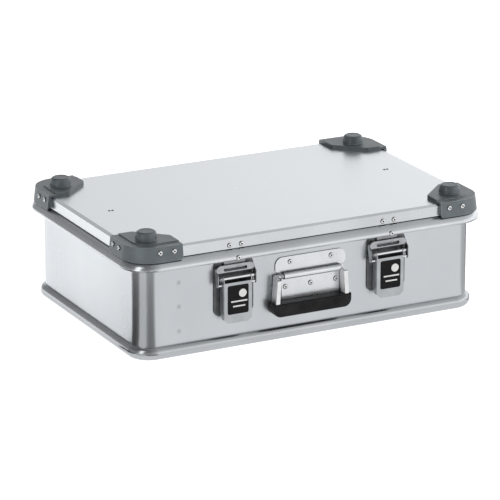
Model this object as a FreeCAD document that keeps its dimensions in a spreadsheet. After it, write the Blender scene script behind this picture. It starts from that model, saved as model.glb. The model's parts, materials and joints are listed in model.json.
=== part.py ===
# Shallow stacking transport case of riveted sheet aluminium, with a hinged lid.
# Frame: +X to the right, +Y to the hinges, +Z up; the origin is on the ground, under the middle.
# "Out" is a distance outward from the wall's outer face, on whichever side of the case.
import FreeCAD, Part
import math
import os
import re
from FreeCAD import Placement, Rotation, Vector
import Sketcher

doc = FreeCAD.newDocument("transport_case")
sheet = doc.addObject("Spreadsheet::Sheet", "Sizes")

SIZES = {
    # the case
    "case_length": 600, "case_width": 400, "case_height": 190,
    "rim_reach": 19, "wall_gauge": 1.5, "wall_corner": 28,
    "foot_reach": 7.5, "foot_height": 19, "foot_sole": 2, "foot_lip": 4, "foot_edge": 1.5,
    "pan_level": 14, "pan_gauge": 1.5, "pan_flange": 10, "pan_gap": 0.2,
    "rim_low": 139, "land_level": 154.4, "rim_nose": 143, "rim_nose_round": 4.6, "rim_top_round": 17,
    "rim_wall": 2, "rim_underside": 14.5, "rim_land": 8.5, "rim_inner_lip": 7, "wall_grip": 3,
    # the lid
    "lid_gap": 0.9, "band_out": 8, "band_gauge": 3, "band_height": 15.6, "lid_web": 2.3,
    "strip_width": 6.3, "strip_rise": 1.6, "panel_gauge": 1.5, "lid_leg": 2, "leg_drop": 13.5,
    "leg_in": 5.5, "gasket_width": 5.6, "gasket_height": 4.5, "gasket_gap": 0.3,
    # the corner castings and their studs
    "casting_x": 77.5, "casting_y": 82.5, "casting_foot": 153.2, "casting_foot_out": 15.5,
    "casting_top_out": 12.5, "ledge_level": 176.4, "ledge_width": 12.5, "plateau_level": 178,
    "plate_gauge": 3.2, "plate_rest": 8, "bevel_x": 34.5, "bevel_y": 41.5, "foot_bearing": 3,
    "skirt_round": 4, "tip_round": 6, "plateau_edge": 0.8,
    "stud_in_x": 45, "stud_in_y": 48, "stud_foot": 16.3, "stud_top": 14.6, "stud_flat": 11.4,
    "stud_bevel": 1.4, "casting_rivet_near": 47, "casting_rivet_far": 69.6,
    "casting_rivet_near_y": 56.5, "casting_rivet_far_y": 77, "casting_rivet_level": 167.2,
    # rivets
    "rivet_head": 3.9, "rivet_dome": 1.9, "rivet_shank": 2.4, "rivet_grip": 3.4,
    # the latches
    "latch_centre": 128.25, "plate_width": 65, "plate_low": 52, "plate_high": 136.5,
    "plate_gauge_latch": 2, "plate_round": 9, "lug_gauge": 1.5, "lug_out": 28.65,
    "pivot_out": 12, "pivot_level": 111.6, "pivot_radius": 2.2, "eye_wall": 1.0,
    "lever_width": 46.8, "lever_gauge": 1.5, "lever_face": "=pivot_out + 4.5",
    "lever_low": 43, "lever_high": 105.4, "lever_back": 3, "lever_bevel": 7, "lever_round": 3,
    "inlay_width": 34.6, "inlay_low": 56.5, "inlay_high": 101, "inlay_round": 3,
    "inlay_gauge": 0.8, "inlay_sunk": 0.5,
    "link_drop": 10, "link_behind": 1, "link_pin": 1.75, "link_width": 64, "link_gauge": 1.6,
    "link_back": 2.6, "link_front": "=band_out + 0.2", "link_low": 119.6, "link_high": 131,
    "link_round": 9,
    "slot_width": 38, "slot_low": 121.8, "slot_high": 126.2, "pin_clearance": 0.06,
    "spring_wire": 1.1, "spring_turns": 3,
    # the lid catches
    "catch_width": 35, "catch_gauge": 2, "catch_top": 167.5, "tip_spacing": 19.3, "tip_width": 7,
    "tip_out": 5.4, "tip_gap": 0.3, "notch_out": 9.6, "catch_rivet_level": 160.9, "catch_room": 0.9,
    # the handle
    "handle_shift": -4.2, "mount_gauge": 1.6, "mount_width": 118, "mount_top": 127,
    "mount_neck": 107, "mount_low": 56, "mount_low_width": 97, "mount_round": 12,
    "barrel_level": 98.9, "barrel_out": 5.4, "barrel_radius": 5.2, "barrel_width": 95,
    "bar_radius": 3, "leg_inside": 104, "leg_width": 6.4, "leg_gauge": 1.5,
    "leg_back": 2.6, "leg_front": 17.4, "leg_heel": 3.4, "leg_spread": 3.6, "leg_low": 50,
    "grip_width": 130, "grip_low": 39.5, "grip_high": 60, "grip_back": 2.2, "grip_front": 19.4,
    "grip_round": 7, "upper_rivet": 34.5, "upper_rivet_level": 118.6, "lower_rivet": 42.4,
    "lower_rivet_level": 80.9,
    # the hinges
    "hinge_centre": 165, "hinge_width": 60, "knuckle_radius": 3.7, "hinge_pin_radius": 1.8,
    "leaf_width": 8, "hinge_level": 159.4, "leaf_gauge": 1.6, "knuckle_gap": 0.3,
    "hinge_inset": "=rim_reach - band_out - leaf_gauge - knuckle_radius - 1.5",
    # the small rivets in the lid and the plates behind them
    "stay_x": 236, "stay_y": 11, "stay_pitch": 5.2, "stay_length": 22, "stay_width": 14,
    "stay_gauge": 1.5, "stay_head": 2.1, "stay_dome": 0.9, "stay_shank": 1.2,
}

for row, (alias, value) in enumerate(SIZES.items(), start=1):
    sheet.set(f"A{row}", alias)
    sheet.set(f"B{row}", str(value))
    sheet.setAlias(f"B{row}", alias)
doc.recompute()

NODES = []

WALL_X = "(case_length / 2 - rim_reach)"
WALL_Y = "(case_width / 2 - rim_reach)"
BAND_LOW = "(land_level + lid_gap)"
BAND_HIGH = "(land_level + lid_gap + band_height)"
PANEL_TOP = "(land_level + lid_gap + band_height + strip_rise)"
LINK_PIN_LEVEL = "(pivot_level - link_drop)"
LINK_PIN_OUT = "(pivot_out - link_behind)"


def bound(formula):
    """The formula with each size written as a cell of the sheet."""
    return re.sub(r"\b(?!sqrt\b)[a-z]\w*", lambda word: "Sizes." + word.group(0), str(formula))


def measure(formula):
    """The number that a formula over the sheet's sizes gives."""
    return float(sheet.evalExpression(bound(formula)))


def front(out):
    """Y of a point that lies out from the front wall."""
    return f"(0 - {WALL_Y} - ({out}))"


def done(piece, label):
    """Keep an object as a sub-part, under its own label."""
    piece.Label = label
    NODES.append(piece)
    return piece


# ---- sketches and features -------------------------------------------------------------------

def new_body(name):
    return doc.addObject("PartDesign::Body", name)


def new_sketch(body, role, offset="0", shift_x="0", shift_y="0"):
    """A sketch on one of the body's own origin planes, moved along the plane's normal."""
    sketch = body.newObject("Sketcher::SketchObject", body.Name + "_sketch")
    plane = next(item for item in body.Origin.OriginFeatures if item.Role == role)
    sketch.AttachmentSupport = [(plane, "")]
    sketch.MapMode = "FlatFace"
    sketch.setExpression("AttachmentOffset.Base.x", bound(shift_x))
    sketch.setExpression("AttachmentOffset.Base.y", bound(shift_y))
    sketch.setExpression("AttachmentOffset.Base.z", bound(offset))
    return sketch


def pin_point(sketch, edge, end, place):
    """Tie one end of an edge to its place, given as two formulas."""
    for kind, formula in (("DistanceX", place[0]), ("DistanceY", place[1])):
        number = sketch.addConstraint(
            Sketcher.Constraint(kind, -1, 1, edge, end, measure(formula)))
        sketch.setExpression(f"Constraints[{number}]", bound(formula))


def point(place):
    return Vector(measure(place[0]), measure(place[1]), 0)


def draw_loop(sketch, corners):
    """A closed loop of straight edges; a corner with a third entry ends an arc of that radius.

    The radius is given as a formula, and an arc bulges to the right of its travel."""
    edges = []
    for index, corner in enumerate(corners):
        previous = corners[index - 1]
        begin, end = point(previous), point(corner)
        if len(corner) == 3:
            radius = measure(corner[2])
            middle = (begin + end) * 0.5
            along = (end - begin).normalize()
            left = Vector(-along.y, along.x, 0)
            half = begin.distanceToPoint(end) / 2
            depth = math.sqrt(max(radius * radius - half * half, 0))
            centre = middle + left * depth
            tip = centre - left * radius
            edge = sketch.addGeometry(Part.Arc(begin, tip, end))
        else:
            edge = sketch.addGeometry(Part.LineSegment(begin, end))
        edges.append(edge)
    for index, corner in enumerate(corners):
        following = corners[(index + 1) % len(corners)]
        here = end_of(sketch, edges[index], point(corner))
        there = end_of(sketch, edges[(index + 1) % len(edges)], point(corner))
        sketch.addConstraint(Sketcher.Constraint(
            "Coincident", edges[index], here, edges[(index + 1) % len(edges)], there))
        pin_point(sketch, edges[index], here, corner)
        if len(corner) == 3:
            size_arc(sketch, edges[index], corners[index - 1], corner)
    return edges


def size_arc(sketch, edge, begin, corner):
    """Fix an arc whose ends are tied: by its radius, or by its centre when it is a half round."""
    chord = point(corner) - point(begin)
    if chord.Length < 1.999 * measure(corner[2]):
        number = sketch.addConstraint(Sketcher.Constraint("Radius", edge, measure(corner[2])))
        sketch.setExpression(f"Constraints[{number}]", bound(corner[2]))
        return
    kind, formula = ("DistanceX", corner[0]) if abs(chord.x) < abs(chord.y) else ("DistanceY", corner[1])
    number = sketch.addConstraint(Sketcher.Constraint(kind, -1, 1, edge, 3, measure(formula)))
    sketch.setExpression(f"Constraints[{number}]", bound(formula))


def end_of(sketch, edge, place):
    """Which end of an edge, 1 or 2, lies at a place."""
    curve = sketch.Geometry[edge]
    return 1 if curve.StartPoint.distanceToPoint(place) < curve.EndPoint.distanceToPoint(place) else 2


def rounded_corners(low_x, high_x, low_y, high_y, radius, split=False):
    """Corners of a rounded rectangle, anticlockwise from its lower left straight."""
    loop = [
        (f"({high_x}) - ({radius})", low_y), (high_x, f"({low_y}) + ({radius})", radius),
        (high_x, f"({high_y}) - ({radius})"), (f"({high_x}) - ({radius})", high_y, radius),
        (f"({low_x}) + ({radius})", high_y), (low_x, f"({high_y}) - ({radius})", radius),
        (low_x, f"({low_y}) + ({radius})"), (f"({low_x}) + ({radius})", low_y, radius),
    ]
    return ([(f"(({low_x}) + ({high_x})) / 2", low_y)] if split else []) + loop


def case_outline(out, split=False):
    """The case's plan outline, a distance out from the wall's outer face."""
    return rounded_corners(f"0 - {WALL_X} - ({out})", f"{WALL_X} + ({out})",
                           f"0 - {WALL_Y} - ({out})", f"{WALL_Y} + ({out})",
                           f"wall_corner + ({out})", split)


def pad(body, sketch, length, both_ways=False, backwards=False):
    feature = body.newObject("PartDesign::Pad", body.Name + "_pad")
    feature.Profile = sketch
    feature.setExpression("Length", bound(length))
    feature.Midplane = both_ways
    feature.Reversed = backwards
    return feature


def pocket(body, sketch, length, both_ways=False, backwards=False):
    feature = body.newObject("PartDesign::Pocket", body.Name + "_pocket")
    feature.Profile = sketch
    feature.setExpression("Length", bound(length))
    feature.Midplane = both_ways
    feature.Reversed = backwards
    return feature


def dress(body, kind, size, test):
    """Fillet or chamfer the edges of the body's tip that a test picks by their middle."""
    doc.recompute()
    tip = body.Tip
    names = [f"Edge{number}" for number, edge in enumerate(tip.Shape.Edges, start=1)
             if test(edge, middle_of(edge))]
    feature = body.newObject("PartDesign::" + kind, body.Name + "_" + kind.lower())
    feature.Base = (tip, names)
    feature.setExpression("Radius" if kind == "Fillet" else "Size", bound(size))
    return feature


def middle_of(edge):
    return edge.valueAt((edge.FirstParameter + edge.LastParameter) / 2)


def runs_along(edge, axis):
    """Whether a straight edge runs along an axis."""
    chord = edge.valueAt(edge.LastParameter) - edge.valueAt(edge.FirstParameter)
    return abs(chord.dot(axis)) > 0.999 * edge.Length


X_AXIS, Y_AXIS, Z_AXIS = Vector(1, 0, 0), Vector(0, 1, 0), Vector(0, 0, 1)


def near(value, formula, slack=0.05):
    return abs(value - measure(formula)) < slack


def swept_frame(name, label, loops):
    """A profile carried round the case; its loops are places (out, level)."""
    body = new_body(name)
    path = new_sketch(body, "XY_Plane")
    draw_loop(path, case_outline("0", split=True))
    section = new_sketch(body, "YZ_Plane")
    for loop in loops:
        draw_loop(section, [(front(corner[0]), *corner[1:]) for corner in loop])
    pipe = body.newObject("PartDesign::AdditivePipe", name + "_pipe")
    pipe.Profile = section
    pipe.Spine = path
    return done(body, label)


# ---- primitives and booleans ------------------------------------------------------------------

def block(name, low_x, high_x, low_y, high_y, low_z, high_z):
    """A box between six formulas."""
    box = doc.addObject("Part::Box", name)
    for side, low, high in (("Length", low_x, high_x), ("Width", low_y, high_y), ("Height", low_z, high_z)):
        box.setExpression(side, bound(f"({high}) - ({low})"))
    for axis, low in (("x", low_x), ("y", low_y), ("z", low_z)):
        box.setExpression(f"Placement.Base.{axis}", bound(low))
    return box


def rod_along_x(name, low_x, high_x, centre_y, centre_z, radius):
    rod = doc.addObject("Part::Cylinder", name)
    rod.Placement = Placement(Vector(), Rotation(Y_AXIS, 90))
    rod.setExpression("Radius", bound(radius))
    rod.setExpression("Height", bound(f"({high_x}) - ({low_x})"))
    for axis, low in (("x", low_x), ("y", centre_y), ("z", centre_z)):
        rod.setExpression(f"Placement.Base.{axis}", bound(low))
    return rod


def fuse(name, pieces):
    result = doc.addObject("Part::MultiFuse", name)
    result.Shapes = pieces
    result.Refine = True
    return result


def cut(name, base, tool):
    result = doc.addObject("Part::Cut", name)
    result.Base = base
    result.Tool = tool
    return result


def mirrored(name, label, source, normal):
    """A sub-part's mirror image across the case's middle plane."""
    image = doc.addObject("Part::Mirroring", name)
    image.Source = source
    image.Base = Vector()
    image.Normal = normal
    return done(image, label)


def latch_rivet_spots(centre):
    """Where a latch's base plate is riveted to the wall."""
    return [(f"{centre} {way} lever_width / 4", level) for way in ("-", "+")
            for level in ("plate_low + plate_round", "lever_high - plate_round")]


def catch_rivet_spots(centre):
    """Where a catch is riveted to the lid's band."""
    return [(f"{centre} {way} tip_spacing / 2", "catch_rivet_level") for way in ("-", "+")]


def handle_rivet_spots():
    """Where the handle's plate is riveted to the wall."""
    upper = [(across, "upper_rivet_level") for across in ("0 - upper_rivet", "upper_rivet")]
    return upper + [(across, "lower_rivet_level") for across in ("0 - lower_rivet", "0", "lower_rivet")]


def wall_rivet_spots():
    return (handle_rivet_spots() + latch_rivet_spots("0 - latch_centre")
            + latch_rivet_spots("latch_centre"))


def drill_front(body, spots, out, depth):
    """Rivet holes through a front face, from a distance out to a depth behind it."""
    holes = new_sketch(body, "XZ_Plane", f"{WALL_Y} + {out}")
    for across, level in spots:
        draw_circle(holes, across, level, "rivet_shank + pin_clearance")
    return pocket(body, holes, depth)


def rivet_row(spots, out):
    """Places for rivets on a front face: a point and the way the head faces."""
    return [(Vector(measure(across), measure(front(out)), measure(level)), Vector(0, -1, 0))
            for across, level in spots]


def rivet_solid(sizes):
    """One rivet: a dome on the plane z = 0 and its shank below."""
    head, dome, shank, depth = [measure(size) for size in sizes]
    lift = (head * head + dome * dome) / (2 * dome)
    slope = math.asin(head / lift) / 2
    arc = Part.Arc(Vector(0, 0, dome),
                   Vector(lift * math.sin(slope), 0, dome - lift + lift * math.cos(slope)),
                   Vector(head, 0, 0)).toShape()
    rest = Part.makePolygon([Vector(head, 0, 0), Vector(shank, 0, 0), Vector(shank, 0, -depth),
                             Vector(0, 0, -depth), Vector(0, 0, dome)])
    return Part.Face(Part.Wire([arc] + rest.Edges)).revolve(Vector(), Z_AXIS, 360)


def rivet_group(name, places, sizes=("rivet_head", "rivet_dome", "rivet_shank", "rivet_grip")):
    """Rivets as one sub-part; a place is a point and the way the head faces."""
    solids = []
    for spot, facing in places:
        rivet = rivet_solid(sizes)
        rivet.Placement = Placement(spot, Rotation(Z_AXIS, facing))
        solids.append(rivet)
    group = doc.addObject("Part::Feature", name)
    group.Shape = Part.Compound(solids)
    return done(group, name)


# ---- the case ---------------------------------------------------------------------------------

def make_wall():
    """The mantle: one sheet bent round four corners."""
    body = new_body("wall")
    ring = new_sketch(body, "XY_Plane", "foot_sole")
    draw_loop(ring, case_outline("0"))
    draw_loop(ring, case_outline("0 - wall_gauge"))
    pad(body, ring, "land_level - wall_grip - foot_sole")
    drill_front(body, wall_rivet_spots(), "1", "2 * wall_gauge + 1")
    return done(body, "body_wall")


def make_pan():
    """The base pan: a sheet with an upturned flange, held clear of the ground for the studs."""
    body = new_body("pan")
    outer = new_sketch(body, "XY_Plane", "pan_level")
    draw_loop(outer, case_outline("0 - wall_gauge - pan_gap"))
    pad(body, outer, "pan_flange")
    inner = new_sketch(body, "XY_Plane", "pan_level + pan_gauge")
    draw_loop(inner, case_outline("0 - wall_gauge - pan_gap - pan_gauge"))
    pocket(body, inner, "pan_flange", backwards=True)
    return done(body, "base_pan")


def make_foot():
    """The profile round the foot: half-round outside, with a lip under the wall."""
    bulge = "(foot_reach - foot_edge)"
    radius = f"((foot_height / 2) ^ 2 + {bulge} ^ 2) / (2 * {bulge})"
    return swept_frame("foot", "base_rim", [[
        ("0 - foot_lip", "0"), ("0 - foot_lip", "foot_sole"), ("0", "foot_sole"), ("0", "foot_height"),
        ("foot_edge", "foot_height"), ("foot_edge", "0", radius)]])


def make_rim():
    """The hollow profile round the mouth, with the slots that the lid's catches drop through."""
    body = swept_frame("rim", "top_rim", [
        [("0", "rim_low"), ("0", "land_level - wall_grip"),
         ("0 - wall_gauge", "land_level - wall_grip"), ("0 - wall_gauge", "land_level - rim_inner_lip"),
         ("0 - wall_gauge - rim_wall", "land_level - rim_inner_lip"),
         ("0 - wall_gauge - rim_wall", "land_level"), ("rim_land", "land_level"),
         ("rim_reach", "rim_nose", "rim_top_round"), ("rim_underside", "rim_low", "rim_nose_round")],
        [("rim_wall", "rim_low + rim_wall"), ("rim_wall", "land_level - rim_wall"),
         ("rim_land - rim_wall / 2", "land_level - rim_wall"),
         ("rim_reach - 1.3 * rim_wall", "rim_nose + rim_wall / 4"),
         ("rim_underside - rim_wall / 2", "rim_low + rim_wall")]])
    slots = new_sketch(body, "XY_Plane", "rim_low - rim_wall")
    for side in ("0 - latch_centre", "latch_centre"):
        half = "(catch_width / 2 + catch_room)"
        draw_loop(slots, [
            (f"{side} - {half}", front("band_out - band_gauge - catch_gauge - catch_room")),
            (f"{side} - {half}", front("band_out - catch_room")),
            *tip_notch(f"{side} - tip_spacing / 2"), *tip_notch(f"{side} + tip_spacing / 2"),
            (f"{side} + {half}", front("band_out - catch_room")),
            (f"{side} + {half}", front("band_out - band_gauge - catch_gauge - catch_room"))])
    pocket(body, slots, "land_level - rim_low + 2 * rim_wall", backwards=True)
    return body


def tip_notch(centre):
    """The four corners where a slot widens for one hook tip of a catch."""
    half = "(tip_width / 2 + catch_room / 2)"
    return [(f"{centre} - {half}", front("band_out - catch_room")),
            (f"{centre} - {half}", front("notch_out")), (f"{centre} + {half}", front("notch_out")),
            (f"{centre} + {half}", front("band_out - catch_room"))]


# ---- the lid ----------------------------------------------------------------------------------

def make_lid_frame():
    """The lid's profile: the band outside, a sloped strip, a seat for the panel and an inner leg."""
    strip_in = "band_out - strip_width"
    body = swept_frame("lid_profile", "lid_frame", [[
        ("band_out", BAND_LOW), ("band_out", BAND_HIGH), (strip_in, PANEL_TOP),
        (strip_in, f"{PANEL_TOP} - panel_gauge"), ("0 - leg_in", f"{PANEL_TOP} - panel_gauge"),
        ("0 - leg_in", f"{BAND_HIGH} - leg_drop"), ("lid_leg - leg_in", f"{BAND_HIGH} - leg_drop"),
        ("lid_leg - leg_in", f"{BAND_HIGH} - lid_web"), ("band_out - band_gauge", f"{BAND_HIGH} - lid_web"),
        ("band_out - band_gauge", BAND_LOW)]])
    spots = catch_rivet_spots("0 - latch_centre") + catch_rivet_spots("latch_centre")
    drill_front(body, spots, "band_out + 1", "band_gauge + 2")


def make_lid_panel():
    body = new_body("panel")
    outline = new_sketch(body, "XY_Plane", f"{PANEL_TOP} - panel_gauge")
    draw_loop(outline, case_outline("band_out - strip_width"))
    pad(body, outline, "panel_gauge")
    holes = new_sketch(body, "XY_Plane", PANEL_TOP)
    for across, along in stay_rivet_spots():
        draw_circle(holes, across, along, "stay_shank + pin_clearance")
    pocket(body, holes, "panel_gauge")
    return done(body, "lid_panel")


def stay_rivet_spots():
    """Where the two pairs of small rivets go through the lid's panel."""
    return [(f"{end} {way} stay_pitch / 2", "stay_y")
            for end in ("0 - stay_x", "stay_x") for way in ("-", "+")]


def make_stays():
    """The small plates under the lid's panel, where its inner stays are fastened."""
    under = f"{PANEL_TOP} - panel_gauge"
    for side, middle in (("left", "(0 - stay_x)"), ("right", "(stay_x)")):
        body = new_body(f"stay_plate_{side}")
        plate = new_sketch(body, "XY_Plane", f"{under} - stay_gauge")
        draw_loop(plate, rounded_corners(
            f"{middle} - stay_length / 2", f"{middle} + stay_length / 2",
            "stay_y - stay_width / 2", "stay_y + stay_width / 2", "stay_gauge"))
        pad(body, plate, "stay_gauge")
        holes = new_sketch(body, "XY_Plane", under)
        for way in ("-", "+"):
            draw_circle(holes, f"{middle} {way} stay_pitch / 2", "stay_y",
                        "stay_shank + pin_clearance")
        pocket(body, holes, "stay_gauge")
        done(body, f"stay_plate_{side}")
    places = [(Vector(measure(across), measure(along), measure(PANEL_TOP)), Z_AXIS)
              for across, along in stay_rivet_spots()]
    rivet_group("stay_rivets", places,
                ("stay_head", "stay_dome", "stay_shank", "panel_gauge + stay_gauge"))


def make_gasket():
    """The seal: a soft square section against the inner leg, just over the rim's land."""
    body = new_body("seal")
    ring = new_sketch(body, "XY_Plane", "land_level + gasket_gap")
    draw_loop(ring, case_outline("lid_leg - leg_in + gasket_width"))
    draw_loop(ring, case_outline("lid_leg - leg_in"))
    pad(body, ring, "gasket_height")
    return done(body, "lid_gasket")


def casting_end(axis):
    """Where a casting ends along one side of the lid."""
    return f"({WALL_X if axis == 'x' else WALL_Y} + casting_top_out - casting_{axis})"


def casting_plan(out, low_in="0"):
    """A casting's plan: two outer sides and their round, two ends and the bevel between them."""
    side_x = f"({WALL_X} + ({out}))"
    side_y = f"({WALL_Y} + ({out}))"
    radius = f"wall_corner + ({out})"
    end_x = f"({casting_end('x')} + ({low_in}))"
    end_y = f"({casting_end('y')} + ({low_in}))"
    return [(side_x, end_y), (side_x, f"{side_y} - ({radius})"),
            (f"{side_x} - ({radius})", side_y, radius), (end_x, side_y),
            (end_x, f"{WALL_Y} + casting_top_out - bevel_y"),
            (f"{WALL_X} + casting_top_out - bevel_x", end_y)]


def make_casting():
    """A corner casting: a leaning skirt on the lid's band, a plate on the panel and a stud."""
    body = new_body("casting")
    lower = new_sketch(body, "XY_Plane", "casting_foot")
    draw_loop(lower, casting_plan("casting_foot_out"))
    upper = new_sketch(body, "XY_Plane", "ledge_level")
    draw_loop(upper, casting_plan("casting_top_out"))
    skirt = body.newObject("PartDesign::AdditiveLoft", "casting_loft")
    skirt.Profile = lower
    skirt.Sections = [upper]
    skirt.Ruled = True
    plateau = new_sketch(body, "XY_Plane", "ledge_level")
    draw_loop(plateau, casting_plan("casting_top_out - ledge_width"))
    pad(body, plateau, "plateau_level - ledge_level")
    dress(body, "Fillet", "tip_round", lambda edge, spot: runs_along(edge, Z_AXIS)
          and spot.x < measure(f"{WALL_X} + casting_top_out - bevel_x + 1")
          and spot.y < measure(f"{WALL_Y} + casting_top_out - bevel_y + 1"))
    dress(body, "Fillet", "plateau_edge", lambda edge, spot: near(spot.z, "plateau_level"))
    recess = new_sketch(body, "XY_Plane", PANEL_TOP)
    draw_loop(recess, case_outline("band_out"))
    pocket(body, recess, f"{PANEL_TOP} - casting_foot + 1")
    dress(body, "Fillet", "skirt_round", lambda edge, spot: near(spot.z, "casting_foot")
          and (near(spot.x, casting_end("x")) or near(spot.y, casting_end("y"))))
    under = new_sketch(body, "XY_Plane", "plateau_level - plate_gauge")
    draw_loop(under, casting_plan("0 - plate_rest / 2", "plate_rest"))
    pocket(body, under, f"plateau_level - plate_gauge - {PANEL_TOP}")
    add_stud(body)
    rebate = new_sketch(body, "XY_Plane", "casting_foot + 1.2 * foot_bearing")
    draw_loop(rebate, case_outline("casting_foot_out - foot_bearing"))
    pocket(body, rebate, "1.2 * foot_bearing + 1")
    return done(body, "corner_casting_back_right")


def add_stud(body):
    """The stacking stud: a flared boss with a bevelled top and a shallow dish in it."""
    stud = new_sketch(body, "XZ_Plane", f"0 - {WALL_Y} - rim_reach + stud_in_y",
                      shift_x=f"{WALL_X} + rim_reach - stud_in_x")
    base = "(plateau_level - plate_gauge / 2)"
    dish = "(stud_bevel / 3)"
    draw_loop(stud, [
        ("0", base), ("stud_foot", base), ("stud_foot", "plateau_level + 0.6"),
        ("stud_top + 0.5", "case_height - 3 * stud_bevel"), ("stud_top - 0.4", "case_height - stud_bevel"),
        ("stud_flat + 0.6", "case_height"), ("stud_flat", "case_height"),
        ("stud_flat - 0.8", f"case_height - {dish}"), ("0", f"case_height - {dish}")])
    turn = body.newObject("PartDesign::Revolution", "casting_stud")
    turn.Profile = stud
    turn.ReferenceAxis = (stud, ["V_Axis"])
    turn.Angle = 360
    return turn


def make_castings():
    first = make_casting()
    mirrored("casting_bl", "corner_casting_back_left", first, X_AXIS)
    front_right = mirrored("casting_fr", "corner_casting_front_right", first, Y_AXIS)
    mirrored("casting_fl", "corner_casting_front_left", front_right, X_AXIS)


def casting_rivets():
    """Two rivets in each side of each casting, square to the leaning skirt."""
    rise = measure("ledge_level - casting_foot")
    lean = measure("casting_foot_out - casting_top_out")
    level = measure("casting_rivet_level")
    out = measure("casting_foot_out") - lean * (level - measure("casting_foot")) / rise
    places = []
    for sx in (-1, 1):
        for sy in (-1, 1):
            for inward in ("casting_rivet_near", "casting_rivet_far"):
                spot = Vector(sx * (measure("case_length / 2") - measure(inward)),
                              sy * (measure(WALL_Y) + out), level)
                places.append((spot, Vector(0, sy * rise, lean)))
            for inward in ("casting_rivet_near_y", "casting_rivet_far_y"):
                spot = Vector(sx * (measure(WALL_X) + out),
                              sy * (measure("case_width / 2") - measure(inward)), level)
                places.append((spot, Vector(sx * rise, 0, lean)))
    return rivet_group("casting_rivets", places)


# ---- the latches ------------------------------------------------------------------------------

def make_latch_base(side, centre):
    """The base plate on the wall, with two lugs that carry the lever's pivot."""
    body = new_body(f"latch_base_{side}")
    plate = new_sketch(body, "XZ_Plane", WALL_Y)
    draw_loop(plate, rounded_corners(f"{centre} - plate_width / 2", f"{centre} + plate_width / 2",
                                     "plate_low", "plate_high", "plate_round"))
    pad(body, plate, "plate_gauge_latch")
    eye = "(pivot_radius + eye_wall)"
    for way in ("-", "+"):
        lug = new_sketch(body, "YZ_Plane", f"{centre} {way} lug_out")
        draw_loop(lug, lug_corners(eye))
        pad(body, lug, "lug_gauge", both_ways=True)
    holes = new_sketch(body, "YZ_Plane", centre)
    draw_circle(holes, front("pivot_out"), "pivot_level", "pivot_radius + pin_clearance")
    pocket(body, holes, "plate_width", both_ways=True)
    drill_front(body, latch_rivet_spots(centre), "plate_gauge_latch + 1", "plate_gauge_latch + 2")
    return done(body, f"latch_base_{side}")


def lug_corners(eye):
    """A lug in side view: a bar out from the plate to a round eye."""
    return [(front("plate_gauge_latch / 2"), f"pivot_level - {eye} * 1.4"),
            (front("plate_gauge_latch / 2"), f"pivot_level + {eye} / 2"),
            (front(f"pivot_out - {eye}"), f"pivot_level + {eye} / 2"),
            (front("pivot_out"), f"pivot_level + {eye}"),
            (front("pivot_out"), f"pivot_level - {eye}", eye)]


def draw_circle(sketch, centre_x, centre_y, radius):
    """A circle tied to the sheet."""
    place = Vector(measure(centre_x), measure(centre_y), 0)
    circle = sketch.addGeometry(Part.Circle(place, Z_AXIS, measure(radius)))
    pin_point(sketch, circle, 3, (centre_x, centre_y))
    number = sketch.addConstraint(Sketcher.Constraint("Radius", circle, measure(radius)))
    sketch.setExpression(f"Constraints[{number}]", bound(radius))


def make_lever(side, centre):
    """The lever: a pressed box, open behind, hung from its pivot by two side walls."""
    body = new_body(f"latch_lever_{side}")
    eye = "(pivot_radius + eye_wall)"
    walls = new_sketch(body, "YZ_Plane", centre)
    draw_loop(walls, [
        (front(f"pivot_out - {eye}"), "pivot_level"), (front(f"pivot_out + {eye}"), "pivot_level", eye),
        (front("lever_face"), "lever_high"), (front("lever_face"), "lever_low"),
        (front("lever_face - lever_gauge"), "lever_low"),
        (front("lever_back"), "lever_low + 2 * lever_bevel"), (front("lever_back"), "lever_high")])
    pad(body, walls, "lever_width", both_ways=True)
    hollow = new_sketch(body, "YZ_Plane", centre)
    draw_loop(hollow, [
        (front("0"), "pivot_level + 2 * pivot_radius"), (front("0"), "lever_low - 1"),
        (front("lever_face - lever_gauge"), "lever_low - 1"),
        (front("lever_face - lever_gauge"), "lever_high"), (front("lever_face + 1"), "lever_high"),
        (front("lever_face + 1"), "pivot_level + 2 * pivot_radius")])
    pocket(body, hollow, "lever_width - 2 * lever_gauge", both_ways=True)
    bevels = new_sketch(body, "XZ_Plane", f"{WALL_Y} - 1")
    for way in ("-", "+"):
        edge = f"{centre} {way} (lever_width / 2"
        draw_loop(bevels, [(f"{edge} - lever_bevel)", "lever_low - 1"), (f"{edge} + 1)", "lever_low - 1"),
                           (f"{edge} + 1)", "lever_low + lever_bevel * 0.9"),
                           (f"{edge})", "lever_low + lever_bevel * 0.9"),
                           (f"{edge} - lever_bevel)", "lever_low")])
    pocket(body, bevels, "lever_face + 2", backwards=True)
    dress(body, "Fillet", "lever_round / 2", lambda edge, spot: runs_along(edge, Z_AXIS)
          and near(spot.y, front("lever_face"))
          and abs(spot.x - measure(centre)) > measure("lever_width / 3"))
    holes = new_sketch(body, "YZ_Plane", centre)
    draw_circle(holes, front("pivot_out"), "pivot_level", "pivot_radius + pin_clearance")
    draw_circle(holes, front(LINK_PIN_OUT), LINK_PIN_LEVEL, "link_pin + pin_clearance")
    pocket(body, holes, "plate_width", both_ways=True)
    seat = new_sketch(body, "XZ_Plane", f"{WALL_Y} + lever_face - inlay_sunk")
    draw_loop(seat, inlay_outline(centre, "0"))
    pocket(body, seat, "inlay_sunk + 1", backwards=True)
    return done(body, f"latch_lever_{side}")


def inlay_outline(centre, gap):
    return rounded_corners(f"{centre} - inlay_width / 2 + {gap}", f"{centre} + inlay_width / 2 - {gap}",
                           f"inlay_low + {gap}", f"inlay_high - {gap}", "inlay_round")


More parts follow.
